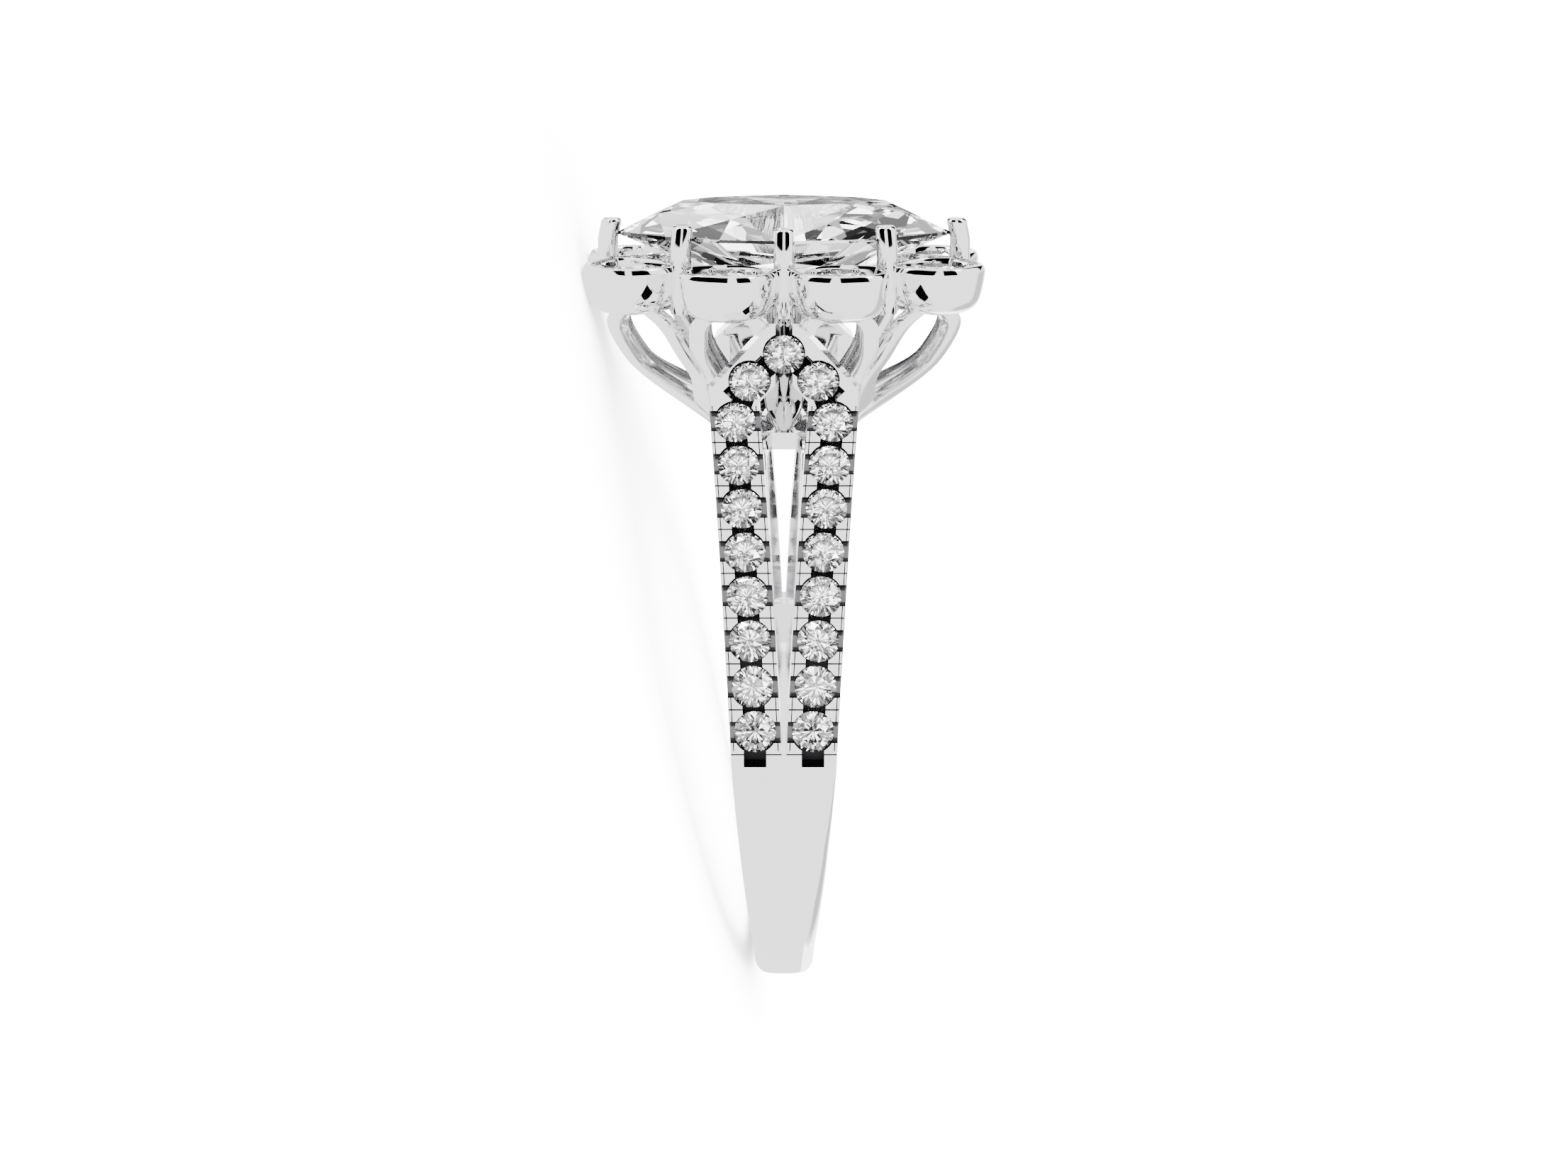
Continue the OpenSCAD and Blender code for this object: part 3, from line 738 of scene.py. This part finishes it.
def channel_cutter(side):
    """Channel, painted dark with shade, that runs under the stones, up one arm, round the apex and down
    the other.
    """
    places = accent_places()
    right = [(places[0][0], CHANNEL_FROM)] + places
    path = right + [(0, APEX_RUN)] + [(-x, run) for x, run in reversed(right)]
    rings = []
    for i, (x, run) in enumerate(path):
        before, after = path[max(i - 1, 0)], path[min(i + 1, len(path) - 1)]
        into = Vector((x - before[0], run - before[1])).normalized() if i else None
        onto = Vector((after[0] - x, after[1] - run)).normalized() if i < len(path) - 1 else None
        into, onto = into or onto, onto or into
        along = (into + onto).normalized()
        reach = CHANNEL_W / 2 / max(0.5, along.dot(onto))
        off = Vector((-along.y, along.x)) * reach
        rings.append([on_face(x + off.x * s, run + off.y * s, h)
                      for s, h in ((-1, -CHANNEL_DEPTH), (1, -CHANNEL_DEPTH),
                                   (1, CHANNEL_TOP), (-1, CHANNEL_TOP))])
    return turned_to(lofted("channel", rings), side)


def turned_to(piece, side):
    """Front pieces are modelled; the back ones are the same turned half round."""
    if side > 0:
        piece.data.transform(Matrix.Rotation(pi, 4, "Z"))
    return piece


def seat_cutter(x, run):
    """Conical seat of one stone, with the well that its girdle drops into."""
    place = face_matrix(x, run)
    profile = [(0.0, CUT_TOP), (SEAT_R + 0.005, CUT_TOP), (SEAT_R + 0.005, -GIRDLE_SINK - 0.03),
               (SEAT_FOOT_R, -SEAT_DEPTH), (0.0, -SEAT_DEPTH)]
    return lofted("seat", [[place @ Vector((r * cos(a), r * sin(a), h)) for a in
                            (2 * pi * k / SEAT_SIDES for k in range(SEAT_SIDES))] for r, h in profile])


def notch_cutter(x, run, turn, radius, half_l):
    """Round notch across the arm at one stone, that stops short of the other arm."""
    place = face_matrix(x, run) @ Matrix.Rotation(turn, 4, "Z")
    inner = min(half_l, abs(x) - CENTRE_GAP) if turn == 0 else half_l
    ends = (-inner, half_l) if x > 0 else (-half_l, inner)
    return lofted("notch", [[place @ Vector((end, radius * cos(a), radius * sin(a))) for a in
                             (2 * pi * k / NOTCH_SIDES for k in range(NOTCH_SIDES))] for end in ends])


def groove_cutter(x, run):
    """Fine saw line between two stones' beads."""
    place = face_matrix(x, run)
    half_l, half_w, deep = ARM_W / 2 + 0.15, GROOVE_W / 2, GROOVE_DEPTH
    inner = min(half_l, abs(x) - CENTRE_GAP)
    ends = (-inner, half_l) if x > 0 else (-half_l, inner)
    return lofted("groove", [[place @ Vector((end, w, h)) for w, h in
                              ((-half_w, -deep), (half_w, -deep), (half_w, LINE_TOP), (-half_w, LINE_TOP))]
                             for end in ends])


def border_cutter(across, edge):
    """Fine line engraved along one edge of an arm."""
    low, high = FIRST_ACCENT - 0.6, LAST_RUN + 0.5
    rings = []
    for i in range(BORDER_STEPS + 1):
        run = low + (high - low) * i / BORDER_STEPS
        x = arm_centre(on_arm(run)[1]) + edge * (ARM_W / 2 - BORDER_IN)
        rings.append([on_face(across * (x + w), run, h) for w, h in
                      ((-BORDER_W / 2, -BORDER_DEPTH), (BORDER_W / 2, -BORDER_DEPTH),
                       (BORDER_W / 2, LINE_TOP), (-BORDER_W / 2, LINE_TOP))])
    return lofted("border", rings)


def arm_details(side):
    """Seats, notches, saw lines and borders of both arms and the apex on one side."""
    seats, notches, grooves = [], [], []
    borders = [border_cutter(across, edge) for across in (-1, 1) for edge in (-1, 1)]
    places = accent_places()
    for across in (1, -1):
        for i, (x, run) in enumerate(places):
            turn = 0 if i < STRAIGHT_ACCENTS else -across * pi / 4
            seats.append(seat_cutter(across * x, run))
            notches.append(notch_cutter(across * x, run, turn, NOTCH_R, NOTCH_HALF_L))
            if i < STRAIGHT_ACCENTS:
                grooves.append(groove_cutter(across * x, run - ACCENT_PITCH / 2))
    seats.append(seat_cutter(0, APEX_RUN))
    notches.append(notch_cutter(0, APEX_RUN, pi / 2, APEX_HALF, APEX_NOTCH_HALF_L))
    return [turned_to(joined(name, parts), side)
            for name, parts in (("seats", seats), ("notches", notches), ("grooves", grooves),
                                ("borders", borders))]


def shank():
    """Hoop, shoulder arms and rail, cut for the split, the channels and every stone."""
    body = lofted("shank", [hoop_section(*station) for station in hoop_stations()])
    body.data.materials.append(WHITE_GOLD)
    cut_by(body, rail(), "UNION")
    for side in (-1, 1):
        cut_by(body, split_cutter(side))
        cut_by(body, roof_cutter(side))
        channel = channel_cutter(side)
        # The channel's faces take the gold painted black with shade
        channel.data.materials.append(CHANNEL_SHADE_GOLD)
        cut_by(body, channel)
        seats, notches, grooves, borders = arm_details(side)
        # Seats and notches take the gold painted dark with shade
        notches.data.materials.append(SEAT_SHADE_GOLD)
        seats.data.materials.append(SEAT_SHADE_GOLD)
        # Saw lines and borders take the same painted shade as the channel
        grooves.data.materials.append(CHANNEL_SHADE_GOLD)
        borders.data.materials.append(CHANNEL_SHADE_GOLD)
        for cutter in (notches, borders, seats, grooves):
            cut_by(body, cutter)
    smooth_edges(body)
    return finished(body, WHITE_GOLD, "white_gold", "mount")


# Prongs

def prong(place, inward):
    """Round wire that stands outside the girdle; its end nods over the stone and is cut off blunt."""
    nod_from = PRONG_TOP_Z - NOD_H
    levels = [(PRONG_FOOT_Z, PRONG_R - 0.02), (PRONG_FOOT_Z + 0.02, PRONG_R), (14.0, PRONG_R),
              (nod_from - 0.04, PRONG_R), (nod_from + 0.04, PRONG_R), (PRONG_TOP_Z - CAP_H, PRONG_R)]
    levels += [(PRONG_TOP_Z - CAP_H + CAP_H * sin(a), PRONG_R - CAP_R + CAP_R * cos(a))
               for a in (pi / 2 * step / 6 for step in range(1, 6))]
    levels += [(PRONG_TOP_Z, PRONG_R - CAP_R), (PRONG_TOP_Z + 0.005, 0.003)]
    rings = []
    for z, radius in levels:
        centre = place + inward * NOD * max(0, z - nod_from)
        rings.append([Vector((centre.x + radius * cos(a), centre.y + radius * sin(a), z))
                      for a in (2 * pi * k / PRONG_SIDES for k in range(PRONG_SIDES))])
    return lofted("prong", rings)


def prongs():
    """Prongs at the tips, at the middles and in the quarters, each kind modelled once."""
    toward = -Vector((QUARTER_PRONG.x, QUARTER_PRONG.y + MARQUISE_C)).normalized()
    made = mirrored(prong(TIP_PRONG, Vector((-1, 0))), LEFT_RIGHT)
    made += mirrored(prong(MIDDLE_PRONG, Vector((0, -1))), FRONT_BACK)
    made += mirrored(prong(QUARTER_PRONG, toward), QUARTERS)
    made = joined("prongs", made)
    smooth_edges(made, 50)
    return finished(made, WHITE_GOLD, "white_gold", "mount")


# Petal cups

class Petal:
    """Place of one petal, between the prongs p and q: u runs along their line, v away from it."""

    def __init__(self, p, q):
        along = (q - p).normalized()
        away = Vector((along.y, -along.x))
        if away.dot(p + q) < 0:
            away = -away
        self.middle, self.along, self.away = (p + q) / 2, along, away
        self.half = (q - p).length / 2 - PETAL_CLEAR

    def point(self, u, v, z):
        flat = self.middle + self.along * u + self.away * v
        return Vector((flat.x, flat.y, z))

    def outline(self, inset, turn):
        half = self.half - inset
        reach = abs(cos(turn)) ** (2 / CUP_POWER) * half
        u = reach if cos(turn) > 0 else -reach
        if sin(turn) >= 0:
            return u, (PETAL_OUT - inset) * sin(turn) ** (2 / CUP_POWER)
        return u, -(PETAL_IN - 0.3 * inset) * (1 - (u / half) ** 2)

    def turns(self, count):
        """Turns that space the rim's points evenly."""
        fine = [2 * pi * k / 2000 for k in range(2001)]
        spots = [Vector(self.outline(0, a)) for a in fine]
        run = [0]
        for before, after in zip(spots, spots[1:]):
            run.append(run[-1] + (after - before).length)
        found, at = [], 0
        for k in range(count):
            while run[at] < run[-1] * k / count:
                at += 1
            found.append(fine[at])
        return found


END_PETAL = Petal(TIP_PRONG, QUARTER_PRONG)
SIDE_PETAL = Petal(QUARTER_PRONG, MIDDLE_PRONG)


def eased(rows, count):
    """The short table of rows, with count steps between neighbours on a smooth curve."""
    made = []
    last = len(rows) - 1
    for i in range(last):
        a, b, c, d = rows[max(i - 1, 0)], rows[i], rows[i + 1], rows[min(i + 2, last)]
        for step in range(count):
            t = step / count
            made.append([0.5 * (2 * b[k] + (c[k] - a[k]) * t
                                + (2 * a[k] - 5 * b[k] + 4 * c[k] - d[k]) * t ** 2
                                + (3 * b[k] - a[k] - 3 * c[k] + d[k]) * t ** 3) for k in range(2)])
    return made + [list(rows[-1])]


# Outside of a cup, from the underside to the rim: share of its height, inset from the outline
CUP_WALL = ((0, 0.95), (0.0, 0.72), (0.05, 0.5), (0.14, 0.31), (0.3, 0.16), (0.6, 0.055), (0.86, 0.0))
# Rolled rim, from the wall over to the recess: height below the rim, inset
CUP_RIM = ((0.21, 0.0), (0.18, 0.005), (0.07, 0.05), (0.025, 0.085), (0.0, 0.14), (0.0, 0.19),
           (0.04, 0.25), (0.12, 0.29))


def petal_cup(petal):
    """Cup with a rolled rim, a recess and the well under its stone."""
    height = RIM_Z - CUP_Z
    rows = [(CUP_Z + share * height, inset) for share, inset in eased(CUP_WALL, 3)]
    rows += [(RIM_Z - below, inset) for below, inset in eased(CUP_RIM, 3)[1:]]
    rows += [(CUP_FLOOR_Z + 0.12, RIM_W + 0.06), (CUP_FLOOR_Z + 0.03, RIM_W + 0.09),
             (CUP_FLOOR_Z, RIM_W + 0.16)]
    turns = petal.turns(CUP_POINTS)
    rings = [[petal.point(*petal.outline(inset, a), z) for a in turns] for z, inset in rows]
    for z, radius in ((CUP_FLOOR_Z, WELL_R), (WELL_Z, WELL_R - 0.05)):
        rings.append([petal.point(radius * cos(a), PETAL_STONE_OUT + radius * sin(a), z) for a in turns])
    return lofted("petal cup", rings)


def bead(petal, turn):
    """Small bead raised from the recess, which holds the petal's stone."""
    reach = PETAL_STONE_D / 2 + BEAD_R + 0.02
    at = petal.point(reach * cos(turn), PETAL_STONE_OUT + reach * sin(turn), 0)
    levels = [(CUP_FLOOR_Z - 0.2, BEAD_R), (BEAD_Z - BEAD_R, BEAD_R)]
    levels += [(BEAD_Z - BEAD_R + BEAD_R * sin(a), max(0.001, BEAD_R * cos(a)))
               for a in (pi / 2 * k / 5 for k in range(1, 6))]
    return lofted("bead", [[at + Vector((radius * cos(a), radius * sin(a), z)) for a in
                            (2 * pi * k / BEAD_SIDES for k in range(BEAD_SIDES))] for z, radius in levels])


def petal_cups():
    """Eight cups and their beads: those of one quarter, mirrored into the others."""
    cups, beads = [], []
    for petal in (END_PETAL, SIDE_PETAL):
        cups += mirrored(petal_cup(petal), QUARTERS)
        for turn in BEAD_TURNS:
            beads += mirrored(bead(petal, radians(turn)), QUARTERS)
    cups = joined("petal_cups", cups)
    smooth_edges(cups, 40)
    finished(cups, WHITE_GOLD, "white_gold", "mount")
    beads = joined("petal_beads", beads)
    smooth_edges(beads, 50)
    finished(beads, WHITE_GOLD, "white_gold", "mount")


# Basket

class Loop:
    """One pointed loop of flat band, which rises from the rail and faces out with its petal."""

    def __init__(self, petal, foot, mouth, half, wide_z, power):
        self.foot, self.away, self.along = Vector(foot), petal.away, petal.along
        self.way = petal.middle + petal.along * mouth[0] + petal.away * mouth[1] - self.foot
        self.half, self.wide_z, self.power = half, wide_z, power

    def flare(self, z):
        """How far the loop has opened out at a height, as a share of the way from foot to mouth."""
        if z > LOOP_MOUTH_Z:
            return 1
        return 1 - (1 - max(0, z - LOOP_FOOT_Z) / (LOOP_MOUTH_Z - LOOP_FOOT_Z)) ** self.power

    def outside(self, z):
        """Half width of the outline at a height."""
        if z < self.wide_z:
            share = (z - LOOP_FOOT_Z) / (self.wide_z - LOOP_FOOT_Z)
            return BAND_W / 2 + (self.half - BAND_W / 2) * sin(pi / 2 * share) ** 2
        return self.half * (1 - ((z - self.wide_z) / (LOOP_TOP_Z - self.wide_z)) ** 6)

    def inside(self, z):
        """Half width of the opening at a height."""
        wide, half = self.wide_z - 0.1, self.half - BAND_W
        if z < wide:
            return half * sin(pi / 2 * (z - OPEN_LOW_Z) / (wide - OPEN_LOW_Z)) ** 1.7
        return half * (1 - ((z - wide) / (OPEN_HIGH_Z - wide)) ** 6)

    def point(self, z, side, width):
        """Point at a height, on the band's inner (-1) or outer (1) face, off the loop's middle."""
        slope = (self.flare(z + 0.02) - self.flare(z - 0.02)) / 0.04 * self.way.dot(self.away)
        out = Vector((1, -slope)).normalized() * side * BAND_T / 2
        at = self.foot + self.way * self.flare(z) + self.away * out.x + self.along * width
        return Vector((at.x, at.y, z + out.y))

    def piece(self):
        """The whole loop, with the gold painted darker on the faces that look into the basket, as painted
        shade.
        """
        steps = 30
        right = [(LOOP_FOOT_Z, 0, OPEN_LOW_Z, 0),
                 (LOOP_FOOT_Z + 0.01, BAND_W / 2, OPEN_LOW_Z + 0.01, 0.005)]
        for k in range(1, steps):
            share = sin(pi / 2 * k / steps)
            z = LOOP_FOOT_Z + (LOOP_TOP_Z - LOOP_FOOT_Z) * share
            opening = OPEN_LOW_Z + (OPEN_HIGH_Z - OPEN_LOW_Z) * share
            right.append((z, self.outside(z), opening, self.inside(opening)))
        right.append((LOOP_TOP_Z, 0, OPEN_HIGH_Z, 0))
        left = [(z, -half, opening, -inner) for z, half, opening, inner in reversed(right[1:-1])]
        rings = [[self.point(z, -1, half), self.point(z, 1, half),
                  self.point(opening, 1, inner), self.point(opening, -1, inner)]
                 for z, half, opening, inner in right + left + right[:1]]
        made = lofted("loop", rings, ends="joined")
        made.data.materials.append(SATIN_GOLD)
        made.data.materials.append(BASKET_SHADE_GOLD)
        # Faces that look into the basket get the gold painted dark with shade
        for face in made.data.polygons:
            face.material_index = int(face.normal.xy.dot(self.away) < -0.5)
        return applied(made, "BEVEL", width=0.05, segments=2, limit_method="ANGLE",
                       angle_limit=radians(50))


def basket():
    """Eight loops: those of one quarter, mirrored into the others."""
    made = mirrored(Loop(END_PETAL, *END_LOOP).piece(), QUARTERS)
    made += mirrored(Loop(SIDE_PETAL, *SIDE_LOOP).piece(), QUARTERS)
    made = joined("basket_loops", made)
    smooth_edges(made, 35)
    return finished(made, WHITE_GOLD, "white_gold", "mount")


KEEL_SIDES = 20
KEEL_HALF_T = 0.3
# Height, half width and distance out of the keel's ridge
KEEL = ((8.75, 0.22, 2.0), (9.05, 0.3, 2.25), (9.6, 0.56, 2.7), (10.2, 0.7, 2.98), (10.9, 0.64, 3.12),
        (11.8, 0.42, 3.25), (12.4, 0.3, 3.32), (12.98, 0.24, 3.34))


def keel():
    """Smooth leaf between the rail and the middle prong, seen through the split."""
    rings = []
    for z, half, ridge in KEEL:
        ring = []
        for k in range(KEEL_SIDES):
            a = 2 * pi * k / KEEL_SIDES
            ring.append(Vector((half * cos(a), ridge - KEEL_HALF_T + KEEL_HALF_T * sin(a), z)))
        rings.append(ring)
    made = lofted("keel", rings)
    return applied(made, "SUBSURF", levels=2, render_levels=2)


def keels():
    """Front and back keel."""
    made = joined("keels", mirrored(keel(), FRONT_BACK))
    smooth_edges(made, 60)
    return finished(made, KEEL_SHADE_GOLD, "white_gold", "mount")


# Diamonds

def cut_stone(name, points):
    """Flat facets through a set of corner points."""
    bpy.ops.object.select_all(action="DESELECT")
    bpy.ops.mesh.primitive_circle_add(vertices=len(points))
    piece = bpy.context.object
    piece.name = name
    for vertex, point in zip(piece.data.vertices, points):
        vertex.co = point
    bpy.ops.object.mode_set(mode="EDIT")
    bpy.ops.mesh.select_all(action="SELECT")
    bpy.ops.mesh.convex_hull()
    bpy.ops.mesh.dissolve_limited(angle_limit=radians(0.6))
    bpy.ops.object.mode_set(mode="OBJECT")
    outward(piece)
    return piece


def brilliant_points(outline, table, crown, pavilion, girdle):
    """Corners of a brilliant; outline(turn, share) gives its shape at a share of its size."""
    def ring(count, offset, share, z):
        return [Vector((*outline(2 * pi * (k + offset) / count, share), z)) for k in range(count)]

    star, low = 0.5 + table * 0.53, 0.24
    star_z = crown * (1 - star * cos(pi / 8)) / (1 - table)
    low_z = -pavilion * (1 - low * cos(pi / 8))
    return (ring(8, 0, table, crown) + ring(8, 0.5, star, star_z) + ring(16, 0, 1, girdle)
            + ring(16, 0, 1, -girdle) + ring(8, 0.5, low, low_z) + [Vector((0, 0, -pavilion))])


def round_outline(radius):
    """Outline of a round stone."""
    return lambda turn, share: (radius * share * cos(turn), radius * share * sin(turn))


def marquise_outline(turn, share):
    """Outline of the centre stone: two arcs that meet in its tips."""
    x = STONE_L / 2 * cos(turn)
    y = sqrt(MARQUISE_R ** 2 - x ** 2) - MARQUISE_C
    return x * share, (y if sin(turn) >= 0 else -y) * share


def round_stones(name, diameter, crown, pavilion, places, material, slot, nodes):
    """Copies of one round brilliant, each with its own mesh, at these matrices."""
    points = brilliant_points(round_outline(diameter / 2), ROUND_TABLE, crown, pavilion,
                              0.012 * diameter)
    first = cut_stone(name, points)
    made = [copied(first, place) for place in places]
    bpy.data.objects.remove(first)
    return finished(joined(name, made), material, slot, *nodes)


def accent_stones():
    """A row of stones in each arm and one stone at each apex."""
    turned = Matrix.Rotation(pi, 4, "Z")
    for side, back in (("front", Matrix.Identity(4)), ("back", turned)):
        for row, across in (("upper", 1), ("lower", -1)):
            if side == "back":
                across = -across
            places = []
            for i, (x, run) in enumerate(accent_places()):
                spin = Matrix.Rotation(radians(STONE_SPIN * i * across), 4, "Z")
                places.append(back @ face_matrix(across * x, run, -GIRDLE_SINK) @ spin)
            round_stones(f"accent_diamonds_{side}_{row}", ACCENT_D, ACCENT_CROWN, ACCENT_PAVILION,
                         places, ACCENT_DIAMOND, "accent_diamond", [f"accents_{side}_{row}"])
        place = back @ face_matrix(0, APEX_RUN, -GIRDLE_SINK)
        round_stones(f"apex_diamond_{side}", ACCENT_D, ACCENT_CROWN, ACCENT_PAVILION, [place],
                     ACCENT_DIAMOND, "accent_diamond", [f"apex_stone_{side}"])


def petal_stones():
    """One round stone in each petal, which stands for the node at its place."""
    for x, y in QUARTERS:
        for petal in (END_PETAL, SIDE_PETAL):
            seat = petal.point(0, PETAL_STONE_OUT, PETAL_GIRDLE_Z)
            place = Matrix.Translation((x * seat.x, y * seat.y, seat.z))
            node = nearest_node(place.translation)
            round_stones(f"petal_diamond_{node[-1]}", PETAL_STONE_D, PETAL_CROWN, PETAL_PAVILION,
                         [place], DIAMOND, "diamond", [node])


def nearest_node(place):
    """The petal stone's node whose middle is nearest to a place in the upright frame."""
    at = LAID @ place

    def distance(name):
        low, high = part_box(name)
        return ((low + high) / 2 - at).length

    return min((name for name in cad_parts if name.startswith("petal_stone")), key=distance)


def centre_stone():
    """The marquise brilliant in the prongs."""
    points = brilliant_points(marquise_outline, TABLE_SHARE, CROWN_H, PAVILION_H, GIRDLE_HALF)
    made = cut_stone("marquise_diamond", points)
    made.data.transform(Matrix.Translation((0, 0, GIRDLE_Z)))
    return finished(made, DIAMOND, "diamond", "centre_stone")


# Studio

def studio():
    """White paper that the ring lies on."""
    bpy.ops.object.select_all(action="DESELECT")
    bpy.ops.mesh.primitive_plane_add(size=6)
    floor = bpy.context.object
    floor.name = "paper_sweep"
    floor.data.materials.append(PAPER)


def surroundings():
    """Even light on the paper and behind the ring, and the room that the ring mirrors."""
    world = bpy.data.worlds.new("white studio")
    bpy.context.scene.world = world
    world.use_nodes = True
    nodes, links = world.node_tree.nodes, world.node_tree.links
    sky = nodes["Background"]
    sky.inputs["Color"].default_value = (1, 1, 1, 1)
    place, room, light_path, light = (nodes.new(kind) for kind in (
        "ShaderNodeTexCoord", "ShaderNodeGroup", "ShaderNodeLightPath", "ShaderNodeMix"))
    room.node_tree = ROOM
    links.new(place.outputs["Generated"], room.inputs["Direction"])
    links.new(stones_path(nodes, links, light_path), room.inputs["Stones"])
    links.new(plain_path(nodes, links, light_path), light.inputs["Factor"])
    links.new(room.outputs[0], light.inputs["A"])
    light.inputs["B"].default_value = BACKDROP_LIGHT
    links.new(light.outputs["Result"], sky.inputs["Strength"])


def camera():
    """The photograph's own angle and distance to the ring."""
    data = bpy.data.cameras.new("camera")
    data.sensor_width = SENSOR_MM
    data.lens = CAMERA_F_PX * SENSOR_MM / PHOTO_W
    data.clip_start = 0.001
    view = bpy.data.objects.new("camera", data)
    bpy.context.scene.collection.objects.link(view)
    right = ring_direction(1, 0, 0)
    up = ring_direction(0, sin(CAMERA_PITCH), cos(CAMERA_PITCH))
    back = ring_direction(0, -cos(CAMERA_PITCH), sin(CAMERA_PITCH))
    turn = Matrix((right, up, back)).transposed().to_4x4()
    view.matrix_world = Matrix.Translation(LAID @ CAMERA_AT) @ turn
    bpy.context.scene.camera = view


camera()
shank()
prongs()
petal_cups()
basket()
keels()
centre_stone()
petal_stones()
accent_stones()
studio()
surroundings()
